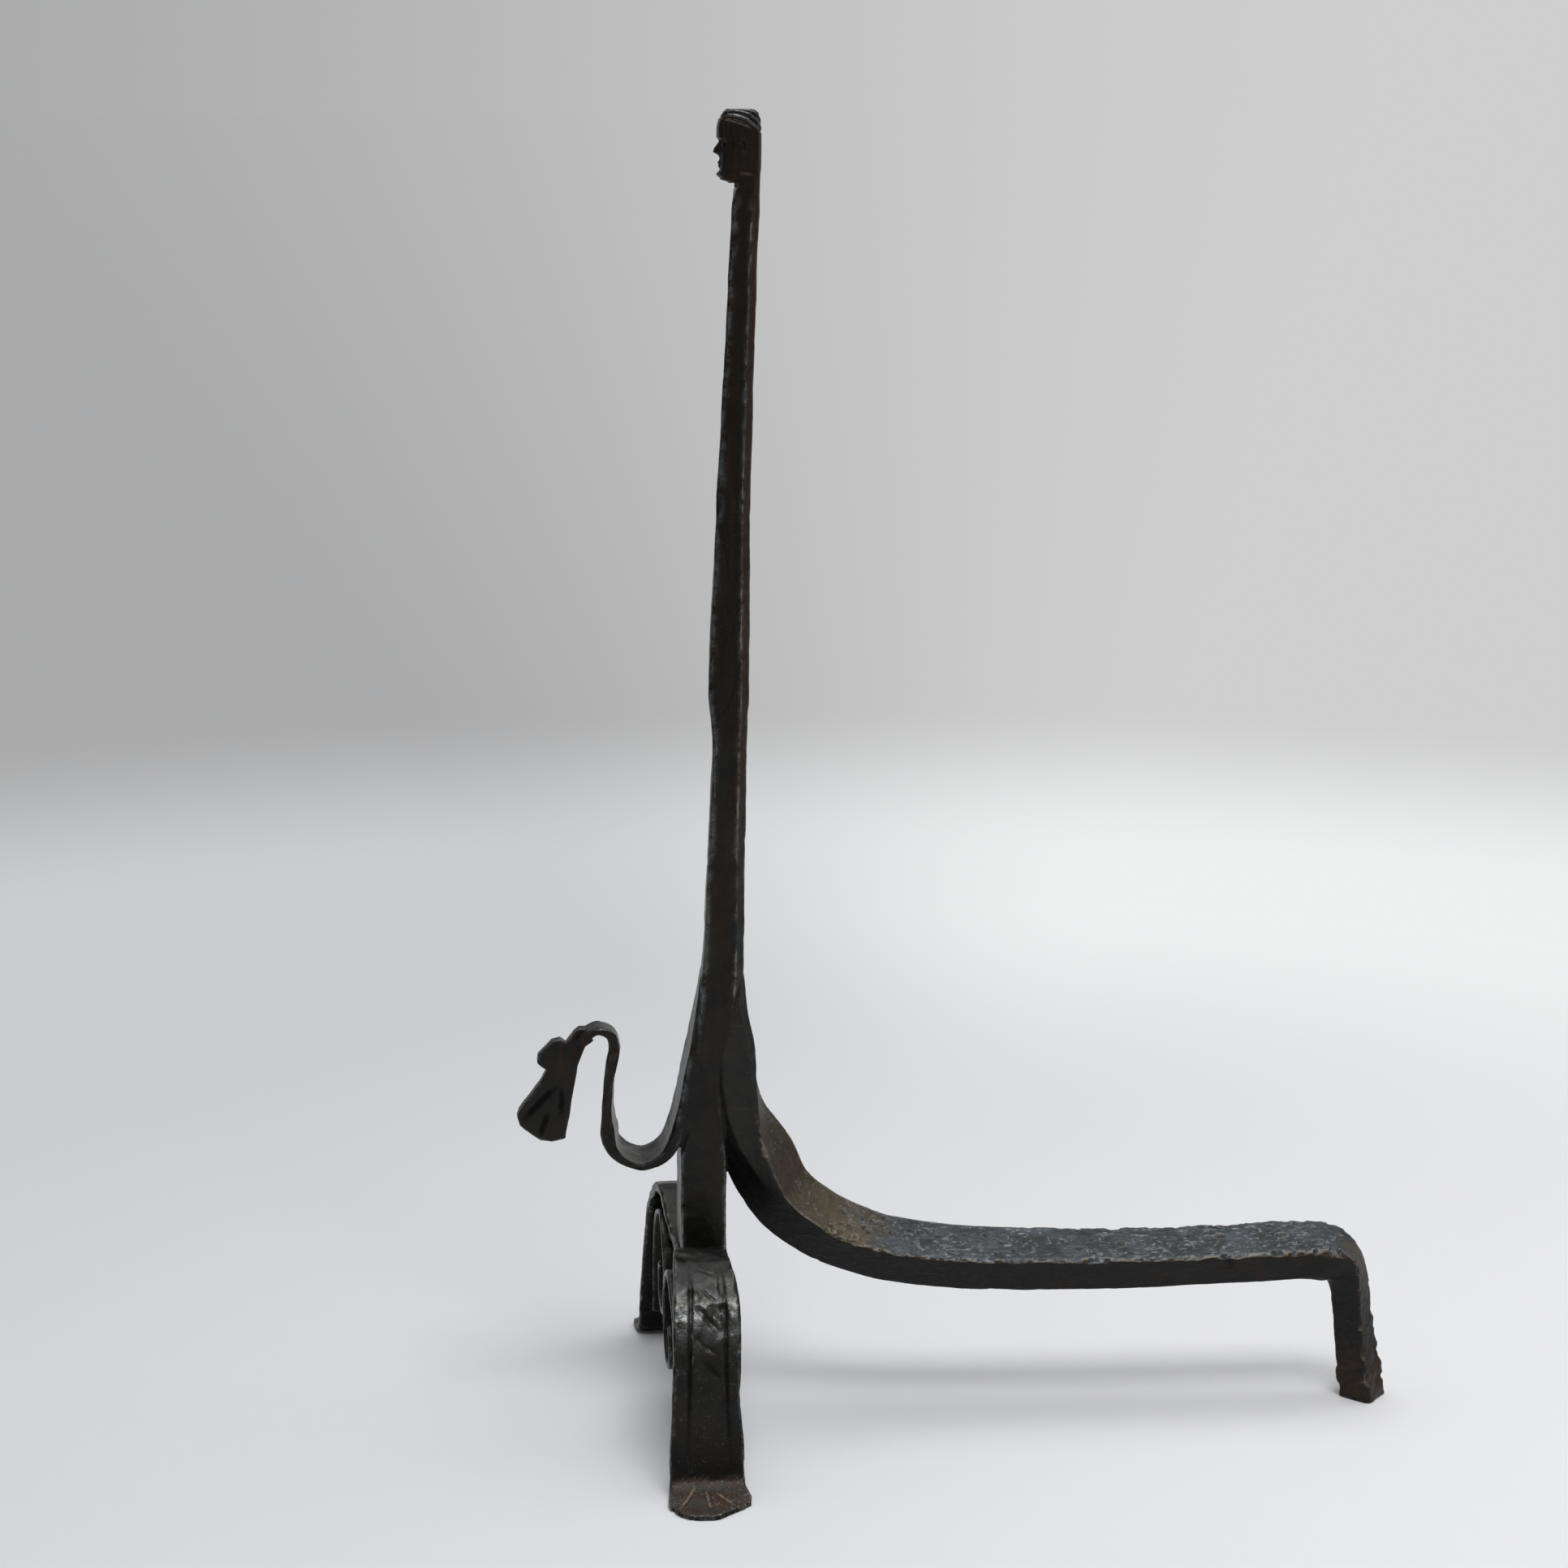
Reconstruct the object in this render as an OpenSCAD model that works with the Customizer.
/* [Upright] */
// Height of the crown of the head above the hearth
overall_h = 651; // [600:1:720]
// Depth of the stem below the fork, front to back
stem_d = 23; // [20:0.5:24]
// Thickness of the stem, side to side
stem_t = 26; // [22:0.5:30]
// Depth of the shaft just above the fork
shaft_d = 19.2; // [16:0.1:22]
// Depth of the shaft below the hammered step
waist_d = 15.4; // [12:0.1:18]
// Depth of the swelling above the hammered step
swell_d = 18.5; // [14:0.1:20]
// Height of the hammered step in the shaft's front face
step_z = 356; // [320:1:420]
// Thickness of the shaft at the step, side to side
shaft_t = 23; // [19:0.5:26]
// Depth of the neck under the head
neck_d = 11.7; // [9:0.1:14]
// Thickness of the neck, side to side
neck_t = 16.5; // [13:0.5:19]
// How far the shaft stands behind the stem's axis at the top of the fork
shaft_back = 11.1; // [9:0.1:13]
// How far the neck stands behind the stem's axis
neck_back = 24.2; // [18:0.2:30]
// Width of the bevel worn along each edge of the bars
bevel = 0.9; // [0.6:0.1:2]
// Width of the chamfer forged along the shaft's two rear edges
chamfer = 4.3; // [2:0.1:5]

/* [Head] */
// Height of the head from chin to crown
head_h = 34; // [28:0.5:40]
// Depth of the head from forehead to nape
head_d = 22; // [18:0.5:24]
// Width of the head across the temples
head_w = 18; // [15:0.5:22]
// How far the nose stands in front of the forehead
nose_d = 2.6; // [1.5:0.1:3.5]

/* [Fork] */
// Height at which the billet bar leaves the stem
fork_z = 134; // [125:1:145]
// Height at which the two welded scarfs run out in the shaft
weld_top = 232; // [222:1:250]
// Height of the hook's root on the stem's front face
hook_root_z = 141; // [136:1:148]

/* [Billet bar] */
// Distance from the stem's axis to the middle of the rear foot
billet_reach = 340; // [280:1:420]
// Height of the bar's middle line along its level run
run_z = 78; // [72:0.5:90]
// Width of the bar across its top face
billet_w = 28; // [24:0.5:32]
// Thickness of the bar
billet_t = 19; // [16:0.5:21]
// How far the bar is turned about its own axis in its bend
bend_turn = 33; // [0:1:38]
// How far the level run is turned about its own axis
run_turn = 18; // [0:1:25]
// How far the rear foot is turned about its own axis
foot_turn = 44; // [0:1:50]
// Side of the rear foot's square section
foot_side = 17.5; // [14:0.5:19]
// How far the rear foot stands out of line, sideways
side_drift = 20; // [0:1:30]
// How far the rear leg leans backwards from knee to floor
leg_lean = 9; // [0:1:16]
// Radius of the knee, on the bar's middle line
knee_r = 14; // [13:0.5:18]

/* [Hook] */
// Distance from the stem's front face to the middle of the hook's riser
hook_reach = 36.5; // [32:0.5:46]
// Height of the middle of the strip at the bottom of the hook
hook_low_z = 136; // [132:0.5:139]
// Height of the middle of the strip at the top of its bend
hook_top_z = 204.5; // [198:0.5:214]
// Width of the strip at the bottom of the hook
hook_w = 30; // [25:0.5:34]
// Thickness of the strip at the bottom of the hook
hook_t = 4; // [3:0.1:5]
// Thickness of the riser, front to back
riser_t = 5; // [4:0.1:6.5]
// Length of the leaf from its shoulder to its rounded end
leaf_l = 58; // [50:0.5:68]
// Breadth of the leaf at its fan
leaf_b = 25; // [20:0.5:30]
// Thickness of the leaf, side to side
leaf_t = 6.5; // [5:0.1:8]

/* [Front foot] */
// Distance between the outer faces of the two legs at the hearth
leg_span = 210; // [190:1:230]
// Angle at which the legs splay outward
leg_splay = 8; // [6:0.5:10]
// Distance between the tips of the two toes
toe_span = 262; // [240:1:300]
// Distance between the two crests of the arch
crest_span = 98; // [92:1:106]
// Height of the crests
crest_z = 105; // [102:0.5:112]
// Height of the seat between the crests, where the stem stands
seat_z = 90; // [86:0.5:94]
// Thickness of the plate
plate_t = 5.5; // [4.5:0.1:7]
// Depth of the plate at the seat and the crests, front to back
crest_d = 25; // [24:0.5:28]
// Depth of the legs, front to back
leg_d = 32.5; // [28:0.5:36]
// Depth of the toes, front to back
toe_d = 40; // [38:0.5:48]
// Thickness of the toes at their rim
toe_t = 3; // [2:0.1:4]
// How far the legs stand forward of the stem's axis
feet_forward = 7; // [4:0.5:12]
// Radius of the round tenon below the stem
tenon_r = 6; // [4.5:0.1:7.5]
// Clearance round the tenon
tenon_gap = 0.1; // [0.05:0.05:0.2]
// Radius of the tenon's hammered end
peen_r = 9; // [8.5:0.5:10.5]
// Height of the tenon's hammered end
peen_h = 2.5; // [1.5:0.5:3.5]

/* [Scrolls] */
// Thickness of the scroll's strip
scroll_t = 3; // [2:0.1:4]
// Depth of the scroll's strip, front to back
scroll_d = 26; // [22:0.5:28]
// How far the top of each scroll lies below the crest above it
scroll_drop = 14; // [13:0.5:18]
// Height of the bottom of the scrolls
scroll_low_z = 39; // [36:0.5:46]
// Gap between the two scrolls under the stem
scroll_gap = 30; // [26:0.5:36]
// Height at which each scroll's weld to its leg begins
root_low_z = 16; // [16:0.5:20]
// Height at which each scroll parts from its leg
root_high_z = 29; // [24:0.5:30]

/* [Hidden] */
dark_iron = [0.15, 0.14, 0.13];
scale_iron = [0.21, 0.22, 0.23];
$fn = 48;
// Rings drawn for each step from one row of a bar to the next
steps = 5;
// A length well beyond the whole object, for cutting shapes
far = 900;

stem_front = -stem_d / 2;
stem_back = stem_d / 2;
shaft_front = shaft_back - shaft_d / 2;
shaft_rear = shaft_back + shaft_d / 2;

// ---- Smooth rows: a row is a list of numbers, and every column is smoothed alike

function sum(list) = list * [for (v = list) 1];
function mix(a, b, s) = a + (b - a) * s;
function unit(v) = v / norm(v);
function flip(list) = [for (i = [len(list) - 1 : -1 : 0]) list[i]];
function place(row) = [row[0], row[1], row[2]];
function span(rows, i) = norm(place(rows[i + 1]) - place(rows[i]));

function rate(rows, i) =
    let (a = max(i - 1, 0), b = min(i + 1, len(rows) - 1))
    (rows[b] - rows[a]) / sum([for (k = [a : b - 1]) span(rows, k)]);

function between(rows, i, t) =
    let (d = span(rows, i), t2 = t * t, t3 = t * t * t)
    (2 * t3 - 3 * t2 + 1) * rows[i] + (t3 - 2 * t2 + t) * d * rate(rows, i)
    + (3 * t2 - 2 * t3) * rows[i + 1] + (t3 - t2) * d * rate(rows, i + 1);

function smooth(rows) = [
    for (i = [0 : len(rows) - 2], k = [0 : steps - 1]) between(rows, i, k / steps),
    rows[len(rows) - 1]
];

// ---- Forged bars: a row holds x, y, z, width, thickness and turn about the bar's axis

// The two edges on the outer side have the bevel c, the two on the inner side d
function section(w, t, c, d) = [
    [w / 2, t / 2 - c], [w / 2 - c, t / 2], [c - w / 2, t / 2], [-w / 2, t / 2 - c],
    [-w / 2, d - t / 2], [d - w / 2, -t / 2], [w / 2 - d, -t / 2], [w / 2, d - t / 2]
];

function heading(rows, i) =
    unit(place(rows[min(i + 1, len(rows) - 1)]) - place(rows[max(i - 1, 0)]));

function ring(rows, i, side, c, d) =
    let (row = rows[i], along = heading(rows, i), most = row[4] / 3)
    let (across = unit(side - (side * along) * along), outward = cross(along, across))
    let (b = across * cos(row[5]) + outward * sin(row[5]))
    let (n = outward * cos(row[5]) - across * sin(row[5]))
    [for (p = section(row[3], row[4], min(c, most), min(d, most))) place(row) + p[0] * b + p[1] * n];

// A bevel is one number for the whole bar, or a list with one for each row
function at_row(v, i) = is_list(v) ? v[i] : v;
function rings(rows, side, c, d) = [
    for (i = [0 : len(rows) - 1]) ring(rows, i, side, at_row(c, i), at_row(d, i))
];

// The last ring is pressed flat onto the hearth
function level_end(loops) = [
    for (i = [0 : len(loops) - 1])
        i < len(loops) - 1 ? loops[i] : [for (p = loops[i]) [p[0], p[1], 0]]
];

module skin(loops) {
    n = len(loops[0]);
    last = len(loops) - 1;
    polyhedron(
        points = [for (r = loops) each r],
        faces = concat(
            [[for (k = [0 : n - 1]) k]],
            [for (i = [0 : last - 1], k = [0 : n - 1])
                [i * n + k, (i + 1) * n + k, i * n + (k + 1) % n]],
            [for (i = [0 : last - 1], k = [0 : n - 1])
                [i * n + (k + 1) % n, (i + 1) * n + k, (i + 1) * n + (k + 1) % n]],
            [[for (k = [n - 1 : -1 : 0]) last * n + k]]
        )
    );
}

module side_view(outline, width) rotate([90, 0, 0]) linear_extrude(width, center = true) polygon(outline);
module front_view(outline) rotate([90, 0, 90]) linear_extrude(far, center = true) polygon(outline);

// ---- Weld faces: flat scarfs that the upright shares with the billet bar and the hook

// How deep the billet bar's scarf bites into the stem, and how far above the fork
scarf_bite = 2.6;
scarf_knee = 54;

module behind_scarf() side_view([
    [stem_back, -far], [stem_back, fork_z], [stem_back - scarf_bite, fork_z + scarf_knee],
    [shaft_rear, weld_top], [far, weld_top], [far, -far]
], far);

module before_scarf() side_view([
    [stem_front, -far], [stem_front, hook_root_z], [shaft_front, weld_top],
    [-far, weld_top], [-far, -far]
], far);

// ---- Upright: stem, shaft, head and tenon forged from one bar

// How far the neck runs down below the chin, and the swelling's middle lies above the step
neck_l = 8;
neck_z = overall_h - head_h - neck_l;
swell_z = step_z + 18;
head_rear = neck_back + neck_d / 2 + 0.7;
head_front = head_rear - head_d;

// s runs from the fork's top to the neck, u from the swelling to the neck
function shaft_x(s) = mix(shaft_back, neck_back, s);
function taper(s, u, t, d) =
    [shaft_x(s), 0, mix(swell_z, neck_z, u), mix(shaft_t, neck_t, t), mix(swell_d, neck_d, d), 0];

shaft_rows = [
    [shaft_x(0), 0, weld_top, stem_t - 1, shaft_d, 0],
    [shaft_x(0.08), 0, weld_top + 22, stem_t - 1.5, shaft_d - 1, 0],
    [shaft_x(0.3), 0, step_z - 16, shaft_t, waist_d, 0],
    [shaft_x(0.32), 0, step_z - 4, shaft_t, waist_d, 0],
    taper(0.29, 0, 0.08, 0),
    taper(0.48, 0.35, 0.4, 0.5),
    taper(0.74, 0.68, 0.75, 0.82),
    taper(1, 1, 1, 1),
    [neck_back + 0.4, 0, neck_z + 1.5 * neck_l, neck_t, neck_d, 0]
];

// The root is a plain block, wide enough for both scarfs to be cut from it
root_rows = [
    [0, 0, seat_z, stem_t, stem_d, 0],
    [0, 0, hook_root_z, stem_t, stem_d, 0],
    [shaft_x(0), 0, weld_top, stem_t - 1, shaft_d, 0]
];

// Plain proportions of a face: height up the head, how far the front lies back,
// how far the middle line stands out, share of the full width, how far the rear lies in
face_rows = [
    [0.00, 6.0, 0.3, 0.62, 1.5], [0.05, 1.6, 0.3, 0.70, 0.6], [0.13, 0.6, 0.7, 0.78, 0.2],
    [0.20, 1.5, 0.1, 0.84, 0], [0.26, 1.2, 0.8, 0.88, 0], [0.30, 1.4, 0.1, 0.90, 0],
    [0.34, 1.3, 0.7, 0.92, 0], [0.38, 1.5, 0.5, 0.94, 0], [0.42, 1.5, 1.0, 0.96, 0],
    [0.50, 1.6, 0.66, 0.98, 0], [0.56, 1.9, 0.3, 0.98, 0], [0.61, 0.6, 0.2, 1.00, 0],
    [0.74, 0.3, 0.1, 1.00, 0], [0.87, 0.9, 0.0, 0.97, 0.3], [0.95, 2.4, 0.0, 0.88, 1.2],
    [1.00, 5.0, 0.3, 0.70, 3.4]
];
nose_row = 8;

function face_ridge(i) = (i >= nose_row && i <= nose_row + 3) ? face_rows[i][2] * nose_d : face_rows[i][2];

function head_ring(i) =
    let (r = face_rows[i], w = head_w * r[3], front = head_front + r[1], rear = head_rear - r[4])
    let (z = overall_h - head_h * (1 - r[0]), d = rear - front, ridge = face_ridge(i))
    let (half = [
        [front - ridge * 0.4, 2], [front, w * 0.28], [front + d * 0.1, w * 0.43], [front + d * 0.32, w * 0.5],
        [front + d * 0.72, w * 0.5], [rear - d * 0.08, w * 0.42], [rear, w * 0.26]
    ])
    concat(
        [[front - ridge, 0, z]],
        [for (p = half) [p[0], -p[1], z]],
        [for (p = flip(half)) [p[0], p[1], z]]
    );

module head() skin([for (i = [0 : len(face_rows) - 1]) head_ring(i)]);

// The tenon passes through the seat and is hammered over beneath it
module tenon() {
    under = seat_z - plate_t;
    translate([0, 0, under - 0.5]) cylinder(r = tenon_r, h = plate_t + 1);
    translate([0, 0, under]) mirror([0, 0, 1]) cylinder(r1 = peen_r, r2 = tenon_r, h = peen_h);
}

module upright() color(dark_iron) {
    difference() {
        skin(rings(root_rows, [0, 1, 0], bevel, [bevel, bevel, chamfer]));
        behind_scarf();
        before_scarf();
    }
    skin(rings(smooth(shaft_rows), [0, 1, 0], bevel, chamfer));
    head();
    tenon();
}

// ---- Billet bar: scarfed to the back of the stem, bent level and down to the rear foot

function drift(x) = -side_drift * max(0, x - bend_start) / (billet_reach - bend_start);
bend_start = stem_back + 15;
knee_x = billet_reach - leg_lean;

// Bend: distance behind the stem, share of the drop still to go, share of the bend's turn, and
// of the bar's thickness
bend_l = 125;
bend = [
    [18, 1.02, 1, 1.34], [28.5, 0.66, 1, 1.24], [46.5, 0.375, 0.85, 1.17], [64, 0.21, 0.75, 1.09],
    [83, 0.1, 0.5, 1.06], [bend_l, 0.01, 0.2, 1.03]
];

weld_rows = [
    [shaft_back + 0.4, 0, weld_top + 4, 23, 18, 0],
    [shaft_back + 3, 0, weld_top - 19, 24, 18, 0],
    [stem_back + 5.8, 0, fork_z + 60, 25.5, 18, 0],
    [stem_back + 7.4, 0, fork_z + 40, 26.5, 18, 0.12 * bend_turn],
    [stem_back + 10, 0, fork_z + 20, 27.5, 21.4, 0.45 * bend_turn]
];

bend_rows = [
    for (b = bend)
        let (x = stem_back + b[0])
        [x, drift(x), mix(run_z, fork_z, b[1]), billet_w, billet_t * b[3], mix(run_turn, bend_turn, b[2])]
];

// Level run: share of its length, sag, and loss of width and thickness
run = [[0.37, 1.3, 0, 0], [0.72, 0.6, 0.5, 1.5], [1, -0.8, 1, 2.5]];
run_start = stem_back + bend_l;

run_rows = [
    for (r = run)
        let (x = mix(run_start, knee_x - knee_r - 9, r[0]))
        [x, drift(x), run_z - r[1], billet_w - r[2], billet_t - r[3], run_turn]
];

// Knee: angle round the bend, width and share of the turn from the run to the foot
knee = [[0, 26, 0], [30, 24, 0.1], [60, 20.5, 0.25], [90, 17.5, 0.5]];

knee_rows = [
    for (k = knee)
        let (x = knee_x - knee_r * (1 - sin(k[0])), z = run_z + 1 - knee_r * (1 - cos(k[0])))
        [x, drift(x), z, k[1], billet_t - 3, mix(run_turn, foot_turn, k[2])]
];

// The rear leg also leans a little sideways, and spreads at its foot
foot_kick = 2.5;
function foot_row(s, z, side) =
    [mix(knee_x, billet_reach, s), -side_drift - foot_kick * s, z, side, side, foot_turn];

leg_rows = [foot_row(0.45, run_z * 0.45, foot_side - 1.5), foot_row(0.97, 3, foot_side)];

billet_rows = concat(
    smooth(concat(weld_rows, bend_rows, run_rows, knee_rows, leg_rows)),
    [foot_row(1, 0, foot_side + 0.5)]
);

// The shaft's chamfer runs out in the bend
chamfer_end = 150;
chamfer_full = 200;
billet_edge = [
    for (r = billet_rows)
        mix(bevel, chamfer, max(0, min(1, (r[2] - chamfer_end) / (chamfer_full - chamfer_end))))
];
billet_rings = level_end(rings(billet_rows, [0, 1, 0], billet_edge, bevel));

module billet_bar() color(scale_iron) intersection() {
    skin(billet_rings);
    behind_scarf();
}

// ---- Hook: a strip scarfed to the front of the stem, bent up and over, ending in a leaf

riser_x = stem_front - hook_reach;

// Strip in the weld, from where it runs out in the shaft down to its root
strip_rows = [
    [shaft_front + 3, 0, weld_top + 2, 20, 6, 0],
    [mix(stem_front, shaft_front, 0.72) + 1.2, 0, mix(hook_root_z, weld_top, 0.72), 23, 6, 0],
    [mix(stem_front, shaft_front, 0.43) - 0.6, 0, mix(hook_root_z, weld_top, 0.43), stem_t, 6, 0],
    [mix(stem_front, shaft_front, 0.24) - 1.6, 0, mix(hook_root_z, weld_top, 0.24), stem_t, 6, 0],
    [stem_front - 3, 0, hook_root_z + 6.5, stem_t + 1, 6, 0]
];

u_rows = [
    [mix(stem_front, riser_x, 0.23), 0, hook_low_z + 4, hook_w - 1, hook_t + 1, 0],
    [mix(stem_front, riser_x, 0.48), 0, hook_low_z, hook_w, hook_t, 0],
    [mix(stem_front, riser_x, 0.69), 0, hook_low_z + 2, hook_w + 1, hook_t, 0],
    [mix(stem_front, riser_x, 0.87), 0, hook_low_z + 7.5, hook_w, hook_t + 1.5, 0]
];

// Riser and bend: distance from the riser's line, share of the rise, width and thickness
rise = [
    [2, 0.24, 27, 7.2], [1.5, 0.4, 24, 5.5], [2.2, 0.6, 21.5, riser_t], [4, 0.76, 21.5, 6],
    [5, 0.86, 17, 5.5], [3, 0.965, 16, 4.6], [-3.5, 1, 15, 4.2], [-9.5, 0.95, 12, 6],
    [-13, 0.88, 8, 7]
];

rise_rows = [for (r = rise) [riser_x + r[0], 0, mix(hook_low_z, hook_top_z, r[1]), r[2], r[3], 0]];

// Outline of the leaf from the bend round the fan and back over the two shoulder lobes,
// in mm from the top of the riser, for a leaf 58 long and 25 broad
leaf_shape = [
    [-5, -6], [-9, -9], [-11.5, -14.5], [-13.5, -20.5], [-15, -29], [-17, -39], [-18.5, -48], [-20, -56],
    [-27, -57], [-33, -56], [-39, -52], [-43, -48], [-44, -44], [-42.5, -40], [-36.5, -32], [-32, -26],
    [-28.5, -20], [-31.5, -18], [-33.5, -16], [-33, -12], [-30, -9], [-26, -5], [-22, -4], [-19, -6.5],
    [-16, -2], [-12.5, 1], [-7.5, 1]
];
leaf_outline = [
    for (p = leaf_shape)
        [riser_x + p[0] * leaf_b / 25, hook_top_z + p[1] * leaf_l / 58]
];

module hook() color(dark_iron) {
    intersection() {
        skin(rings(smooth(concat(strip_rows, u_rows, rise_rows)), [0, 1, 0], bevel, bevel));
        union() {
            before_scarf();
            side_view([[-far, -far], [-far, far], [stem_front, far], [stem_front, -far]], far);
        }
    }
    side_view(leaf_outline, leaf_t);
}

// ---- Front foot: one plate, level at the seat, over two crests and down to the toes

seat_half = stem_t / 2 + 0.5;
crest_y = crest_span / 2;
seat_x = -1.5;
crest_x = -5.3;
seat_mid = seat_z - plate_t / 2;
crest_mid = crest_z - plate_t / 2;
foot_y = leg_span / 2 - plate_t / 2 / cos(leg_splay);

// Where a line along the leg, so far inside its middle, lies at a height
function leg_line(z, inside) = foot_y - z * tan(leg_splay) - inside / cos(leg_splay);

climb = [
    for (s = [0 : 0.125 : 0.99])
        let (up = (1 - cos(180 * pow(s, 1.12))) / 2)
        let (y = mix(seat_half, crest_y, s), z = mix(seat_mid, crest_mid, up))
        [mix(seat_x, crest_x, s), y, z, crest_d + s, plate_t, 0]
];

// Shoulder: place forward, share of the way out, share of the way down, depth
shoulder = [
    [crest_x, 0, 0, crest_d + 1.5], [-5.1, 0.22, 0.042, 29], [-4.7, 0.47, 0.15, 32],
    [-5.4, 0.67, 0.3, leg_d + 0.5], [-6.3, 0.82, 0.51, leg_d]
];

shoulder_rows = [
    for (s = shoulder)
        [s[0], mix(crest_y, foot_y, s[1]), mix(crest_mid, 13, s[2]), s[3], plate_t, 0]
];

function leg_row(z, d) = [-feet_forward, leg_line(z, 0), z, d, plate_t, 0];
function toe_row(y, z, d, t, forward = 0) = [-feet_forward - forward, y, z, d, t, 0];

// The leg is straight where the scroll is welded to it; the toe is a rounded fan, flat on the hearth
leg_end = [
    leg_row(45, leg_d + 0.5), leg_row(37, leg_d + 1.5), leg_row(10, leg_d + 4.5), leg_row(7, leg_d + 5)
];
// The toe's middle line lies this little below half its thickness, so that it is cut flat beneath
toe_press = 0.2;
toe_low = toe_t / 2 - toe_press;
toe_y = toe_span / 2;
toe_rows = [
    toe_row(foot_y + 4.5, 3, toe_d - 1, plate_t - 0.5),
    toe_row(toe_y - 16, 2, toe_d, mix(plate_t, toe_t, 0.6)),
    toe_row(toe_y - 9, toe_low, toe_d - 3, toe_t, 1.2),
    toe_row(toe_y - 3.5, toe_low, toe_d - 13, toe_t, 2.8),
    toe_row(toe_y, toe_low, toe_d - 28, toe_t, 2.8)
];

half_plate = concat(climb, smooth(concat(shoulder_rows, leg_end, toe_rows)));
whole_plate = concat([for (r = flip(half_plate)) [r[0], -r[1], r[2], r[3], r[4], 0]], half_plate);

module foot_arch() color(dark_iron) difference() {
    intersection() {
        skin(rings(whole_plate, [1, 0, 0], bevel, bevel));
        translate([-far / 2, -far / 2, 0]) cube(far);
    }
    translate([0, 0, seat_z - 2 * plate_t]) cylinder(r = tenon_r + tenon_gap, h = 4 * plate_t);
}

// ---- Scrolls: a strip welded inside each leg, bent over and curled back under the stem

scroll_in = scroll_gap / 2 + scroll_t / 2;
scroll_high = crest_z - scroll_drop - scroll_t / 2;
scroll_low = scroll_low_z + scroll_t / 2;
weld_bite = 0.1;
near_scroll_x = -8.4;
far_scroll_x = -5.4;

// The strip leaves its weld and climbs inside the leg; share of the gap that it has under the crest
climb_gap = [1, 0.99, 0.63, 0.28, 0.12];
top_inside = scroll_drop + scroll_t / 2 - plate_t / 2;
root_inside = plate_t / 2 + scroll_t / 2 - weld_bite;
leg_guide = concat(shoulder_rows, [leg_end[0]]);

function root_place(z) = [leg_line(z, root_inside), z];
function climb_place(i) =
    let (along = heading(leg_guide, i), gap = mix(root_inside, top_inside, climb_gap[i]))
    [leg_guide[i][1] + gap * along[2], leg_guide[i][2] - gap * along[1]];

// Curl past the crest: share of the way from the innermost line to the crest, and of the height
curl = [
    [0.6, 0.98], [0.36, 0.89], [0.155, 0.77], [0.03, 0.61], [0, 0.43], [0.06, 0.25], [0.24, 0.08],
    [0.5, 0], [0.79, 0.02], [1, 0.11], [1.1, 0.24], [1.03, 0.38], [0.84, 0.455]
];

function curl_place(c) = [mix(scroll_in, crest_y, c[0]), mix(scroll_low, scroll_high, c[1])];
function strip_of(places, x) = [for (p = places) [x, p[0], p[1], scroll_d, scroll_t, 0]];

scroll_places = concat(
    [root_place(root_high_z)],
    [for (i = [4 : -1 : 0]) climb_place(i)],
    [for (c = curl) curl_place(c)]
);

module scroll(x) {
    root = strip_of([root_place(root_low_z)], x);
    edge = scroll_t / 4;
    intersection() {
        skin(rings(concat(root, smooth(strip_of(scroll_places, x))), [1, 0, 0], edge, edge));
        front_view([
            [leg_line(0, plate_t / 2), 0], [leg_line(far, plate_t / 2), far], [-far, far], [-far, 0]
        ]);
    }
}

module far_scroll() color(dark_iron) scroll(far_scroll_x);
module near_scroll() color(dark_iron) mirror([0, 1, 0]) scroll(near_scroll_x);

// ---- The whole stands with its origin under the middle of its length

front_x = min([for (p = leaf_outline) p[0]]);
rear_x = max([for (r = billet_rings, p = r) p[0]]);

module framed() translate([-(front_x + rear_x) / 2, 0, 0]) children();

framed() upright();
framed() billet_bar();
framed() hook();
framed() foot_arch();
framed() near_scroll();
framed() far_scroll();
